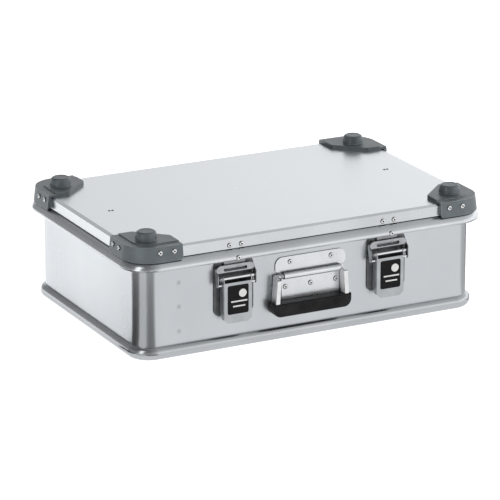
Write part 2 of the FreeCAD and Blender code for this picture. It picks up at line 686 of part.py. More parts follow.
def make_inlay(side, centre):
    """The plate let into the lever's face."""
    body = new_body(f"latch_inlay_{side}")
    plate = new_sketch(body, "XZ_Plane", f"{WALL_Y} + lever_face - inlay_sunk")
    draw_loop(plate, inlay_outline(centre, "pin_clearance"))
    pad(body, plate, "inlay_gauge")
    return done(body, f"latch_inlay_{side}")


def make_link(side, centre):
    """The link: a pressed cap whose bar draws on the catch, with two ears down to its pin."""
    body = new_body(f"latch_link_{side}")
    cap = new_sketch(body, "XZ_Plane", f"{WALL_Y} + link_back")
    half = "link_width / 2"
    draw_loop(cap, [
        (f"{centre} + {half}", "link_low"), (f"{centre} + {half}", "link_high - link_round"),
        (f"{centre} + {half} - link_round", "link_high", "link_round"),
        (f"{centre} - {half} + link_round", "link_high"),
        (f"{centre} - {half}", "link_high - link_round", "link_round"), (f"{centre} - {half}", "link_low")])
    pad(body, cap, "link_front - link_back")
    inside = new_sketch(body, "XZ_Plane", f"{WALL_Y} + link_back - 1")
    inner = "(link_width / 2 - link_gauge)"
    bend = "(link_round - link_gauge)"
    draw_loop(inside, [
        (f"{centre} + {inner}", "link_low - 1"), (f"{centre} + {inner}", "link_high - link_round"),
        (f"{centre} + {inner} - {bend}", "link_high - link_gauge", bend),
        (f"{centre} - {inner} + {bend}", "link_high - link_gauge"),
        (f"{centre} - {inner}", "link_high - link_round", bend), (f"{centre} - {inner}", "link_low - 1")])
    pocket(body, inside, "link_front - link_back + 1 - link_gauge", backwards=True)
    mouth = new_sketch(body, "XY_Plane", "slot_high")
    room = "(catch_width / 2 + catch_room)"
    draw_loop(mouth, [
        (f"{centre} + {room}", front("0")), (f"{centre} - {room}", front("0")),
        (f"{centre} - {room}", front("link_front - link_gauge")),
        (f"{centre} + {room}", front("link_front - link_gauge"))])
    pocket(body, mouth, "link_high", backwards=True)
    slot = new_sketch(body, "XZ_Plane", f"{WALL_Y}")
    draw_loop(slot, rounded_corners(f"{centre} - slot_width / 2", f"{centre} + slot_width / 2",
                                    "slot_low", "slot_high", "(slot_high - slot_low) * 0.45"))
    pocket(body, slot, "2 * link_front", backwards=True)
    reach = "(link_pin + 1.4 * eye_wall)"
    for way in ("-", "+"):
        ear = new_sketch(body, "YZ_Plane", f"{centre} {way} (link_width / 2 - link_gauge / 2)")
        draw_loop(ear, [
            (front("link_back"), "link_high - link_round"),
            (front("link_front"), "link_high - link_round"),
            (front(f"{LINK_PIN_OUT} + {reach}"), "link_low - 2 * eye_wall"),
            (front(f"{LINK_PIN_OUT} + {reach}"), LINK_PIN_LEVEL),
            (front(f"{LINK_PIN_OUT} - {reach}"), LINK_PIN_LEVEL, reach),
            (front("link_back"), "link_low")])
        pad(body, ear, "link_gauge", both_ways=True)
    hole = new_sketch(body, "YZ_Plane", centre)
    draw_circle(hole, front(LINK_PIN_OUT), LINK_PIN_LEVEL, "link_pin + pin_clearance")
    pocket(body, hole, "2 * link_width", both_ways=True)
    return done(body, f"latch_link_{side}")


def make_latch_pins(side, centre):
    """The lever's pivot in the base's lugs, and the link's pin in the lever."""
    span = "(lug_out + lug_gauge / 2 + 0.35)"
    pivot = rod_along_x(f"pivot_{side}", f"{centre} - {span}", f"{centre} + {span}",
                        front("pivot_out"), "pivot_level", "pivot_radius")
    done(pivot, f"latch_pivot_pin_{side}")
    reach = "(link_width / 2 + 0.5)"
    pin = rod_along_x(f"link_pin_{side}", f"{centre} - {reach}", f"{centre} + {reach}",
                      front(LINK_PIN_OUT), LINK_PIN_LEVEL, "link_pin")
    done(pin, f"latch_link_pin_{side}")


def coil(name, start, radius, wire, turns, pitch, arm):
    """A torsion spring wound along X from a start point, with an arm down to what it bears on."""
    helix = Part.makeHelix(pitch, pitch * turns, radius)
    section = Part.Wire(Part.Circle(Vector(radius, 0, 0), Y_AXIS, wire / 2).toShape())
    winding = Part.Wire(helix).makePipeShell([section], True, True)
    winding.Placement = Placement(start, Rotation(Y_AXIS, 90))
    tail = Part.makeCylinder(wire / 2, arm, start + Vector(0, 0, -radius), Vector(0, 1, 0))
    spring = doc.addObject("Part::Feature", name)
    spring.Shape = winding.fuse(tail).removeSplitter()
    return done(spring, name)


def make_latch_spring(side, centre):
    wire = measure("spring_wire")
    radius = measure("pivot_radius + pin_clearance") + wire / 2 + 0.25
    low = measure(f"{centre} - lug_out + lug_gauge / 2") + wire
    start = Vector(low, measure(front("pivot_out")), measure("pivot_level"))
    coil(f"latch_spring_{side}", start, radius, wire, measure("spring_turns") - 1, wire * 1.25,
         measure("pivot_out - plate_gauge_latch") - 0.1)


def make_catch(side, centre):
    """The lid's catch: a plate behind the band whose two tips hook into the link's slot."""
    body = new_body(f"lid_catch_{side}")
    plate = new_sketch(body, "XZ_Plane", f"{WALL_Y} + band_out - band_gauge - catch_gauge")
    tip_top = "(slot_high - tip_gap)"
    draw_loop(plate, rounded_corners(f"{centre} - catch_width / 2", f"{centre} + catch_width / 2",
                                     f"{tip_top} - catch_gauge", "catch_top", "catch_gauge"))
    pad(body, plate, "catch_gauge")
    for way in ("-", "+"):
        tip = new_sketch(body, "XY_Plane", f"{tip_top} - catch_gauge")
        middle = f"({centre} {way} tip_spacing / 2)"
        draw_loop(tip, [
            (f"{middle} - tip_width / 2", front("band_out - band_gauge - catch_gauge")),
            (f"{middle} - tip_width / 2", front("tip_out")), (f"{middle} + tip_width / 2", front("tip_out")),
            (f"{middle} + tip_width / 2", front("band_out - band_gauge - catch_gauge"))])
        pad(body, tip, "catch_gauge")
    drill_front(body, catch_rivet_spots(centre), "band_out", "band_out")
    return done(body, f"lid_catch_{side}")


def latch_rivets():
    """Rivets of the lid's catches, of the rim above each latch and of the base plates."""
    catch, rim, base = [], [], []
    for centre in ("0 - latch_centre", "latch_centre"):
        catch += rivet_row(catch_rivet_spots(centre), "band_out")
        rim += rivet_row([(centre, "rim_nose + 0.8")], "rim_reach - 0.5")
        base += rivet_row(latch_rivet_spots(centre), "plate_gauge_latch")
    rivet_group("catch_rivets", catch)
    rivet_group("rim_rivets", rim)
    rivet_group("latch_base_rivets", base)


# ---- the handle -------------------------------------------------------------------------------

def make_mount():
    """The handle's plate: riveted above and below, and folded round the handle's bar."""
    body = new_body("mount")
    plate = new_sketch(body, "XZ_Plane", WALL_Y)
    wide, low = "mount_width / 2", "mount_low_width / 2"
    draw_loop(plate, [
        (f"0 - {low}", "mount_low"), (low, "mount_low"), (low, "barrel_level"),
        (wide, "mount_neck"), (wide, "mount_top - mount_round"),
        (f"{wide} - mount_round", "mount_top", "mount_round"), (f"mount_round - {wide}", "mount_top"),
        (f"0 - {wide}", "mount_top - mount_round", "mount_round"), (f"0 - {wide}", "mount_neck"),
        (f"0 - {low}", "barrel_level")])
    pad(body, plate, "mount_gauge")
    barrel = new_sketch(body, "YZ_Plane")
    draw_loop(barrel, [
        (front("mount_gauge / 2"), "barrel_level - barrel_radius"),
        (front("mount_gauge / 2"), "barrel_level + barrel_radius"),
        (front("barrel_out"), "barrel_level + barrel_radius"),
        (front("barrel_out"), "barrel_level - barrel_radius", "barrel_radius")])
    pad(body, barrel, "barrel_width", both_ways=True)
    bore = new_sketch(body, "YZ_Plane")
    draw_circle(bore, front("barrel_out"), "barrel_level", "bar_radius + pin_clearance")
    pocket(body, bore, "2 * mount_width", both_ways=True)
    drill_front(body, handle_rivet_spots(), "mount_gauge + 1", "mount_gauge + 2")
    return done(body, "handle_mount")


def make_handle():
    """The swinging handle: a bar in the mount's fold and two channel legs that open outward."""
    body = new_body("handle")
    bar = new_sketch(body, "YZ_Plane", "handle_shift")
    draw_circle(bar, front("barrel_out"), "barrel_level", "bar_radius")
    pad(body, bar, "leg_inside + 2 * leg_gauge", both_ways=True)
    for way in ("0 -", ""):
        leg = new_sketch(body, "XZ_Plane", f"{WALL_Y} + leg_back")
        inner, outer = "leg_inside / 2", "leg_inside / 2 + leg_width"
        draw_loop(leg, [
            (f"handle_shift + {way} ({inner})", "barrel_level + leg_heel"),
            (f"handle_shift + {way} ({outer})", "barrel_level + leg_heel"),
            (f"handle_shift + {way} ({outer} + leg_spread)", "leg_low"),
            (f"handle_shift + {way} ({inner} + leg_spread)", "leg_low")])
        pad(body, leg, "leg_front - leg_back")
    shape_top = new_sketch(body, "YZ_Plane")
    draw_loop(shape_top, [
        (front("barrel_out"), "barrel_level + leg_heel"),
        (front("leg_front + 1"), "barrel_level - leg_heel"), (front("leg_front + 1"), "mount_top"),
        (front("0"), "mount_top"), (front("0"), "barrel_level"),
        (front("barrel_out - leg_heel + 0.6"), "barrel_level"),
        (front("barrel_out - leg_heel + 0.6"), "barrel_level + leg_heel - 1.4")])
    pocket(body, shape_top, "2 * grip_width", both_ways=True)
    for way in ("0 -", ""):
        web = "leg_inside / 2 + leg_gauge"
        channel = new_sketch(body, "XZ_Plane", f"{WALL_Y} + leg_back + leg_gauge")
        draw_loop(channel, [
            (f"handle_shift + {way} ({web})", "barrel_level + leg_heel"),
            (f"handle_shift + {way} ({web} + 2 * leg_width)", "barrel_level + leg_heel"),
            (f"handle_shift + {way} ({web} + 2 * leg_width + leg_spread)", "leg_low - 1"),
            (f"handle_shift + {way} ({web} + leg_spread)", "leg_low - 1")])
        pocket(body, channel, "leg_front - leg_back - 2 * leg_gauge", backwards=True)
    return done(body, "handle_bail")


def make_grip():
    """The moulded grip, with a pocket for each leg."""
    body = new_body("grip")
    bar = new_sketch(body, "XZ_Plane", f"{WALL_Y} + grip_back")
    half = "grip_width / 2"
    low_round = "grip_round * 1.7"
    draw_loop(bar, [
        (f"handle_shift + {half}", f"grip_low + {low_round}"), (f"handle_shift + {half}", "grip_high"),
        (f"handle_shift - {half}", "grip_high"), (f"handle_shift - {half}", f"grip_low + {low_round}"),
        (f"handle_shift - {half} + {low_round}", "grip_low", low_round),
        (f"handle_shift + {half} - {low_round}", "grip_low"),
        (f"handle_shift + {half}", f"grip_low + {low_round}", low_round)][1:])
    pad(body, bar, "grip_front - grip_back")
    dress(body, "Fillet", "grip_round / 3", lambda edge, spot: near(spot.y, front("grip_front"))
          or near(spot.y, front("grip_back")))
    for way in ("0 -", ""):
        socket = new_sketch(body, "XZ_Plane", f"{WALL_Y} + leg_back")
        inner, outer = "leg_inside / 2", "leg_inside / 2 + leg_width"
        climb = "leg_spread * (barrel_level + leg_heel - grip_high - 1) / (barrel_level + leg_heel - leg_low)"
        draw_loop(socket, [
            (f"handle_shift + {way} ({inner} + {climb})", "grip_high + 1"),
            (f"handle_shift + {way} ({outer} + {climb})", "grip_high + 1"),
            (f"handle_shift + {way} ({outer} + leg_spread)", "leg_low"),
            (f"handle_shift + {way} ({inner} + leg_spread)", "leg_low")])
        pocket(body, socket, "leg_front - leg_back", backwards=True)
    return done(body, "handle_grip")


def make_handle_spring():
    wire = measure("spring_wire")
    gap = measure("bar_radius") + wire / 2 + 0.1
    start = Vector(measure("handle_shift - leg_inside / 2") + 2 * wire,
                   measure(front("barrel_out")), measure("barrel_level"))
    coil("handle_spring", start, gap, wire, measure("spring_turns"), wire * 1.3,
         measure("barrel_out") - 0.3)


def handle_rivets():
    return rivet_group("handle_rivets", rivet_row(handle_rivet_spots(), "mount_gauge"))


# ---- the hinges -------------------------------------------------------------------------------

def rear(out):
    """Y of a point that lies out from the rear wall."""
    return f"({WALL_Y} + ({out}))"


def rim_round():
    """Centre (out, level) of the round over the rim's outer edge."""
    across, drop = "(rim_reach - rim_land)", "(land_level - rim_nose)"
    chord = f"sqrt({across} ^ 2 + {drop} ^ 2)"
    depth = f"sqrt(rim_top_round ^ 2 - ({chord} / 2) ^ 2)"
    return (f"(rim_land + rim_reach) / 2 - {depth} * {drop} / {chord}",
            f"(land_level + rim_nose) / 2 - {depth} * {across} / {chord}")


def rear_rod(name, centre, width, out, level, radius):
    return rod_along_x(name, f"{centre} - {width} / 2", f"{centre} + {width} / 2",
                       rear(out), level, radius)


def make_lower_leaf(side, centre):
    """The leaf bent over the rim's round, with a knuckle on a web at each end."""
    round_out, round_level = rim_round()
    axis = "rim_reach - hinge_inset"
    name = f"hinge_{side}_"
    width = "(hinge_width - knuckle_gap)"
    over = rear_rod(name + "over", centre, width, round_out, round_level, "rim_top_round + leaf_gauge")
    region = block(name + "region", f"{centre} - {width}", f"{centre} + {width}",
                   rear("rim_land + 1.2"), rear("rim_land + leaf_width"),
                   "rim_nose + knuckle_gap", "hinge_level")
    strip = doc.addObject("Part::Common", name + "strip")
    strip.Base, strip.Tool = over, region
    pieces = [strip]
    for way in ("-", "+"):
        middle = f"({centre} {way} hinge_width / 3)"
        length = "(hinge_width / 3 - knuckle_gap)"
        pieces.append(rear_rod(name + "knuckle", middle, length, axis, "hinge_level", "knuckle_radius"))
        pieces.append(block(name + "web", f"{middle} - {length} / 2", f"{middle} + {length} / 2",
                            rear(f"{axis} - knuckle_radius"), rear(f"{axis} + knuckle_radius / 3"),
                            "rim_nose", "hinge_level"))
    solid = fuse(name + "leaf", pieces)
    rim = rear_rod(name + "rim", centre, "(2 * hinge_width)", round_out, round_level,
                   "rim_top_round + pin_clearance")
    bore = rear_rod(name + "bore", centre, "(2 * hinge_width)", axis, "hinge_level",
                    "hinge_pin_radius + pin_clearance")
    return done(cut(name + "lower", cut(name + "fitted", solid, rim), bore), f"hinge_leaf_lower_{side}")


def make_upper_leaf(side, centre):
    """The leaf on the lid's band, with the middle knuckle."""
    axis = "(rim_reach - hinge_inset)"
    body = new_body(f"hinge_upper_{side}")
    plate = new_sketch(body, "YZ_Plane", centre)
    draw_loop(plate, [
        (rear("band_out"), f"{BAND_HIGH} - 1"), (rear("band_out"), "hinge_level"),
        (rear("band_out + leaf_gauge"), "hinge_level"), (rear("band_out + leaf_gauge"), f"{BAND_HIGH} - 1")])
    pad(body, plate, "hinge_width - 2 * knuckle_gap", both_ways=True)
    knuckle = new_sketch(body, "YZ_Plane", centre)
    draw_loop(knuckle, [
        (rear(axis), "hinge_level - knuckle_radius"),
        (rear(axis), "hinge_level + knuckle_radius", "knuckle_radius"),
        (rear("band_out"), "hinge_level + knuckle_radius"), (rear("band_out"), "hinge_level")])
    pad(body, knuckle, "hinge_width / 3 - knuckle_gap", both_ways=True)
    bore = new_sketch(body, "YZ_Plane", centre)
    draw_circle(bore, rear(axis), "hinge_level", "hinge_pin_radius + pin_clearance")
    pocket(body, bore, "2 * hinge_width", both_ways=True)
    return done(body, f"hinge_leaf_upper_{side}")


def make_hinge(side, centre):
    """One hinge: a leaf on the rim, a leaf on the lid and the pin through both."""
    make_lower_leaf(side, centre)
    make_upper_leaf(side, centre)
    pin = rear_rod(f"hinge_pin_{side}", centre, "hinge_width", "rim_reach - hinge_inset",
                   "hinge_level", "hinge_pin_radius")
    done(pin, f"hinge_pin_{side}")


def main():
    make_wall()
    make_pan()
    make_foot()
    make_rim()
    make_lid_frame()
    make_lid_panel()
    make_stays()
    make_gasket()
    make_castings()
    casting_rivets()
    for side, centre in (("left", "0 - latch_centre"), ("right", "latch_centre")):
        make_latch_base(side, centre)
        make_latch_pins(side, centre)
        make_lever(side, centre)
        make_inlay(side, centre)
        make_link(side, centre)
        make_latch_spring(side, centre)
        make_catch(side, centre)
    latch_rivets()
    make_mount()
    make_handle()
    make_grip()
    make_handle_spring()
    handle_rivets()
    for side, centre in (("left", "0 - hinge_centre"), ("right", "hinge_centre")):
        make_hinge(side, centre)
    write_parts()


def write_parts():
    """Check every object, then write each sub-part to its own STEP file."""
    doc.recompute()
    faults = [item.Label for item in doc.Objects
              if "Invalid" in item.State or "Error" in item.State]
    for piece in NODES:
        if piece.Shape.isNull() or not piece.Shape.isValid():
            faults.append(piece.Label + " (shape)")
    if faults:
        raise RuntimeError("failed objects: " + ", ".join(faults))
    os.makedirs("parts", exist_ok=True)
    for piece in NODES:
        piece.Shape.exportStep(os.path.join("parts", piece.Label + ".step"))
        print(f"{piece.Label}: {len(piece.Shape.Solids)} solid(s), {piece.Shape.Volume:.0f} mm3")


main()
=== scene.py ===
import json
import math

import bmesh
import bpy
from mathutils import Matrix, Vector


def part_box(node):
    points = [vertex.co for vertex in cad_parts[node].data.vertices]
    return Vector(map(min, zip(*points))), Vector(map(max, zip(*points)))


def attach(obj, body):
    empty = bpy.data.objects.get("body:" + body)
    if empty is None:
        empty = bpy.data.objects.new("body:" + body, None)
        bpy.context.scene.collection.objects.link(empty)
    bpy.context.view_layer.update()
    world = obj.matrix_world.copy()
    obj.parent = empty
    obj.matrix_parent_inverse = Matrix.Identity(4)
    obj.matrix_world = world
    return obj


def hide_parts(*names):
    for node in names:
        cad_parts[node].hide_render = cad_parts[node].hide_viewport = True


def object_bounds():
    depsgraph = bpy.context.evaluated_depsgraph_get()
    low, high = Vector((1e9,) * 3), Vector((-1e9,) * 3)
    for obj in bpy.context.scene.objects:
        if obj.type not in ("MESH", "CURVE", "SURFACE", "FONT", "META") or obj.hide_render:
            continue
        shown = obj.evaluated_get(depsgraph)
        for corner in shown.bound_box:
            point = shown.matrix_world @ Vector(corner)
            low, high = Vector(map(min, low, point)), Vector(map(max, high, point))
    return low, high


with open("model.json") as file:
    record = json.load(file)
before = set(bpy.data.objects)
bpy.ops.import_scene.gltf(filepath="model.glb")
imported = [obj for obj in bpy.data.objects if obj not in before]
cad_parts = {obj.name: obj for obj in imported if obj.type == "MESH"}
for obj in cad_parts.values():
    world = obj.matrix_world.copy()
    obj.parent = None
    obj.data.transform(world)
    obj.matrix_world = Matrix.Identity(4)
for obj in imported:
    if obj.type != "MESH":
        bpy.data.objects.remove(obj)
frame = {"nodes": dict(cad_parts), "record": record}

cad_low, cad_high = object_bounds()
bpy.ops.object.select_all(action="DESELECT")


# ---- Camera ---------------------------------------------------------------------------------------
# A long lens, as a product studio uses so that the far corners do not shrink. It stands to the left
# of the case's front and a little above it, and looks across the lid and the latches.
camera_place = (-2.2356, -4.3430, 1.6693)
camera_dip = 18.04
camera_turn = -27.16
camera_data = bpy.data.cameras.new("camera")
camera = bpy.data.objects.new("camera", camera_data)
bpy.context.scene.collection.objects.link(camera)
camera_data.sensor_width = 36
camera_data.lens = 241.06
camera_data.clip_end = 100
camera.location = camera_place
camera.rotation_euler = (math.radians(90 - camera_dip), 0, math.radians(camera_turn))
bpy.context.scene.camera = camera


# ---- Mantle, base pan and lid panel ---------------------------------------------------------------
# Mill-finish aluminium sheet, 1.5 mm thick. The mantle is one strip bent round the four corners; its
# rolling marks run level round the case, and along the length on the lid panel and the base pan.
bodies = frame["record"]["behaviour"]["bodies"]
body_of_node = {node: body for body, nodes in bodies.items() for node in nodes}


def new_surface(name, **sockets):
    """A material whose Principled shader has these constant sockets."""
    material = bpy.data.materials.new(name)
    material.use_nodes = True
    shader = material.node_tree.nodes["Principled BSDF"]
    for socket, value in sockets.items():
        shader.inputs[socket.replace("_", " ")].default_value = value
    return material


def add_node(material, kind, **values):
    node = material.node_tree.nodes.new(kind)
    for name, value in values.items():
        if name in node.inputs:
            node.inputs[name].default_value = value
        else:
            setattr(node, name, value)
    return node


def join(material, start, output, end, entry):
    material.node_tree.links.new(start.outputs[output], end.inputs[entry])


def noise(material, scale, detail, stretch=(1, 1, 1)):
    """Noise over the piece's own place, stretched by a scale on each axis."""
    place = add_node(material, "ShaderNodeTexCoord")
    mapping = add_node(material, "ShaderNodeMapping")
    mapping.inputs["Scale"].default_value = stretch
    pattern = add_node(material, "ShaderNodeTexNoise", Scale=scale, Detail=detail, Roughness=0.55)
    join(material, place, "Object", mapping, "Vector")
    join(material, mapping, "Vector", pattern, "Vector")
    return pattern


# Nearly all of a noise pattern lies between these two values.
noise_low, noise_high = 0.3, 0.7


def roughen(material, pattern, low, high):
    """A pattern drives the shader's roughness between two values."""
    reach = add_node(material, "ShaderNodeMapRange")
    limits = {"From Min": noise_low, "From Max": noise_high, "To Min": low, "To Max": high}
    for name, value in limits.items():
        reach.inputs[name].default_value = value
    join(material, pattern, "Fac", reach, "Value")
    join(material, reach, "Result", material.node_tree.nodes["Principled BSDF"], "Roughness")


def tint(material, pattern, dark, light):
    """A pattern mixes the shader's colour between two tones."""
    ramp = add_node(material, "ShaderNodeValToRGB")
    for number, (place, tone) in enumerate(((noise_low, dark), (noise_high, light))):
        ramp.color_ramp.elements[number].position = place
        ramp.color_ramp.elements[number].color = (*tone, 1)
    join(material, pattern, "Fac", ramp, "Fac")
    join(material, ramp, "Color", material.node_tree.nodes["Principled BSDF"], "Base Color")


def relief(material, *patterns):
    """Bumps laid over each other; each pattern comes with its height in metres."""
    before = None
    for pattern, height in patterns:
        bump = add_node(material, "ShaderNodeBump", Strength=1.0, Distance=height)
        join(material, pattern, "Fac", bump, "Height")
        if before:
            join(material, before, "Normal", bump, "Normal")
        before = bump
    join(material, before, "Normal", material.node_tree.nodes["Principled BSDF"], "Normal")


def sheet_aluminium(name, lines_along, smears_along, dark, light):
    """Rolled sheet: faint lines, soft cloudy smears and a fine mottle."""
    surface = new_surface(name, Metallic=1.0)
    lines = noise(surface, 1.0, 5.0, lines_along)
    smears = noise(surface, 9.0, 3.0, smears_along)
    mottle = noise(surface, 60.0, 4.0)
    roughen(surface, smears, 0.27, 0.30)
    tint(surface, smears, dark, light)
    relief(surface, (lines, 1.5e-6), (mottle, 2e-6))
    return surface


def paint(material, *nodes):
    """Gives CAD pieces their finish."""
    for name in nodes:
        piece = frame["nodes"][name]
        for slot in piece.material_slots:
            slot.material = material


def edit(piece):
    """Opens a piece for editing with nothing selected, and hands back its editable mesh."""
    bpy.ops.object.select_all(action="DESELECT")
    bpy.context.view_layer.objects.active = piece
    piece.select_set(True)
    bpy.ops.object.mode_set(mode="EDIT")
    bpy.ops.mesh.select_mode(type="FACE")
    bpy.ops.mesh.select_all(action="DESELECT")
    return bmesh.from_edit_mesh(piece.data)


def close_edit(piece, angle=35):
    """Ends the editing and smooths all but the sharp edges."""
    bpy.ops.object.mode_set(mode="OBJECT")
    bpy.ops.object.shade_smooth_by_angle(angle=math.radians(angle))
    piece.select_set(False)


def finish_with(piece, modifier):
    """Applies a modifier."""
    bpy.context.view_layer.objects.active = piece
    piece.select_set(True)
    bpy.ops.object.modifier_apply(modifier=modifier.name)
    piece.select_set(False)


# Corners nearer than this are one corner, facets that turn by less than this many degrees are one
# face, and a face is a side when its outward direction has less of the case's depth than this.
merge_gap = 0.000002
facet_turn = 0.5
side_limit = 0.3


def dressed(node, material, edge=0.0, segments=2, angle=35, sides=None, rims=None):
    """A copy of a CAD piece with its facets merged, its sharp edges broken and its curves smooth.

    A pressed plate can have another material on the sheared sides that stand square to the wall, and
    any piece can have another on its broken edges."""
    source = frame["nodes"][node]
    piece = bpy.data.objects.new(node + "_dressed", source.data.copy())
    bpy.context.scene.collection.objects.link(piece)
    edit(piece)
    bpy.ops.mesh.select_all(action="SELECT")
    bpy.ops.mesh.remove_doubles(threshold=merge_gap)
    bpy.ops.mesh.dissolve_limited(angle_limit=math.radians(facet_turn))
    close_edit(piece, angle)
    piece.data.materials.clear()
    for finish in (material, sides or material, rims or material):
        piece.data.materials.append(finish)
    if edge:
        bevel = piece.modifiers.new("broken_edge", "BEVEL")
        bevel.material = 2 if rims else -1
        bevel.width, bevel.segments = edge, segments
        bevel.limit_method, bevel.angle_limit = "ANGLE", math.radians(angle)
        finish_with(piece, bevel)
    weigh = piece.modifiers.new("flat_faces_first", "WEIGHTED_NORMAL")
    weigh.keep_sharp, weigh.weight = True, 100
    finish_with(piece, weigh)
    if sides:
        for face in piece.data.polygons:
            if abs(face.normal.y) < side_limit and face.material_index == 0:
                face.material_index = 1
    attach(piece, body_of_node[node])
    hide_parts(node)


def weld_stains_and_dent_shade(material, places, radius, depth):
    """Round spot-weld marks: each darkens the colour a little around its place, partly the weld's own
    stain and partly painted shade that stands in for its dent.
    """
    shader = material.node_tree.nodes["Principled BSDF"]
    for spot in places:
        colour = shader.inputs["Base Color"].links[0].from_socket
        place = add_node(material, "ShaderNodeTexCoord")
        reach = add_node(material, "ShaderNodeVectorMath", operation="DISTANCE")
        reach.inputs[1].default_value = spot
        join(material, place, "Object", reach, 0)
        fade = add_node(material, "ShaderNodeMapRange", interpolation_type="SMOOTHSTEP")
        for name, value in (("From Max", radius), ("To Min", 1 - depth), ("To Max", 1.0)):
            fade.inputs[name].default_value = value
        join(material, reach, "Value", fade, "Value")
        darker = add_node(material, "ShaderNodeVectorMath", operation="MULTIPLY")
        material.node_tree.links.new(colour, darker.inputs[0])
        join(material, fade, "Result", darker, 1)
        join(material, darker, "Vector", shader, "Base Color")


mantle_sheet = sheet_aluminium("mantle_sheet", (3, 3, 900), (1, 1, 0.35),
                               (0.55, 0.575, 0.60), (0.61, 0.64, 0.665))
flat_sheet = sheet_aluminium("flat_sheet", (3, 900, 3), (0.35, 1, 1),
                             (0.62, 0.65, 0.675), (0.65, 0.68, 0.705))
wall_low, wall_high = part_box("body_wall")
weld_across = -0.217
weld_levels = (0.113, 0.076, 0.038)
# Three spot-weld marks on the mantle, darkened partly as stain and partly as painted shade of their
# dents.
weld_stains_and_dent_shade(mantle_sheet, [(weld_across, wall_low.y, level) for level in weld_levels],
            radius=0.0055, depth=0.30)
dressed("body_wall", mantle_sheet)
dressed("lid_panel", flat_sheet)
dressed("base_pan", flat_sheet)


# ---- Foot, mouth and lid profiles -----------------------------------------------------------------
# Extruded aluminium, drawn bright and bent to the case's corners. Fine die lines run along each
# profile, so they lie level all round the case.
def extruded(name, dark, light):
    """Extruded aluminium between two tones."""
    surface = new_surface(name, Metallic=1.0)
    lines = noise(surface, 1.0, 5.0, (2, 2, 1300))
    clouds = noise(surface, 9.0, 3.0)
    roughen(surface, clouds, 0.22, 0.25)
    tint(surface, clouds, dark, light)
    relief(surface, (lines, 5e-6))
    return surface


profile = extruded("extruded_profile", (0.55, 0.575, 0.60), (0.64, 0.665, 0.69))
# The lid's band has a lighter copy of the extruded aluminium, painted light, and the foot a darker
# copy, painted shade.
lid_profile = extruded("lid_profile", (0.60, 0.625, 0.65), (0.68, 0.705, 0.73))
foot_profile_painted_shade = extruded("foot_profile_painted_shade", (0.45, 0.47, 0.49), (0.52, 0.54, 0.56))
dressed("base_rim", foot_profile_painted_shade, angle=30)
dressed("top_rim", profile, edge=0.0002, angle=40)
dressed("lid_frame", lid_profile, edge=0.0003, angle=30)


# ---- Seal -----------------------------------------------------------------------------------------
# A soft black rubber section pushed into the lid's profile. It rests just over the mouth profile.
seal_rubber = new_surface("seal_rubber", Metallic=0.0)
seal_grain = noise(seal_rubber, 900.0, 3.0)
tint(seal_rubber, seal_grain, (0.012, 0.012, 0.013), (0.035, 0.035, 0.036))
roughen(seal_rubber, seal_grain, 0.6, 0.8)
relief(seal_rubber, (seal_grain, 3e-5))
paint(seal_rubber, "lid_gasket")


# ---- Corner castings ------------------------------------------------------------------------------
# Die-cast aluminium corners, tumbled and lacquered grey. Each has a stacking stud with a bevelled
# top, and its skirt is riveted to the lid's band.
cast_metal = new_surface("cast_metal", Metallic=0.5, Coat_Weight=0.10, Coat_Roughness=0.30)
cast_grain = noise(cast_metal, 1400.0, 4.0)
cast_clouds = noise(cast_metal, 40.0, 4.0)
tint(cast_metal, cast_clouds, (0.108, 0.126, 0.137), (0.152, 0.175, 0.188))
roughen(cast_metal, cast_clouds, 0.38, 0.50)
relief(cast_metal, (cast_grain, 2e-5), (cast_clouds, 8e-5))
# The broken edges take a lighter, shinier tone: a painted highlight along the castings' edges.
edge_painted_highlight = new_surface("edge_painted_highlight", Metallic=0.6)
edge_highlight_clouds = noise(edge_painted_highlight, 160.0, 4.0)
tint(edge_painted_highlight, edge_highlight_clouds, (0.22, 0.25, 0.26), (0.52, 0.55, 0.57))
roughen(edge_painted_highlight, edge_highlight_clouds, 0.30, 0.45)
for corner in ("front_left", "front_right", "back_left", "back_right"):
    dressed("corner_casting_" + corner, cast_metal, edge=0.0008, segments=3, angle=40, rims=edge_painted_highlight)


# ---- Rivets ---------------------------------------------------------------------------------------
# Blind rivets of bright aluminium: a low dome with the small hole that the pulled stem leaves. They
# hold the castings, the catches, the latches, the handle and the mouth profile.
rivet_metal = new_surface("rivet_metal", Metallic=1.0)
rivet_grain = noise(rivet_metal, 700.0, 3.0)
tint(rivet_metal, rivet_grain, (0.78, 0.79, 0.80), (0.90, 0.905, 0.91))
roughen(rivet_metal, rivet_grain, 0.13, 0.19)
relief(rivet_metal, (rivet_grain, 1e-5))

# Near black for the ring round each head's foot and for the inside of the stem hole: painted shade
# where the head meets the plate and down the hole.
rivet_painted_shade = new_surface("rivet_painted_shade", Metallic=0.6)
painted_shade_grain = noise(rivet_painted_shade, 700.0, 3.0)
tint(rivet_painted_shade, painted_shade_grain, (0.03, 0.033, 0.036), (0.07, 0.074, 0.078))
roughen(rivet_painted_shade, painted_shade_grain, 0.45, 0.60)

rivet_radius = 0.0039
rivet_rise = 0.0019
disc_thick = 0.0004
stem_hole = 0.0010


def colour_selected(mesh, slot):
    for face in mesh.faces:
        if face.select:
            face.material_index = slot


def lift(height, rim):
    """Insets what is selected and raises it."""
    bpy.ops.mesh.inset(thickness=rim)
    bpy.ops.transform.translate(value=(0, 0, height))


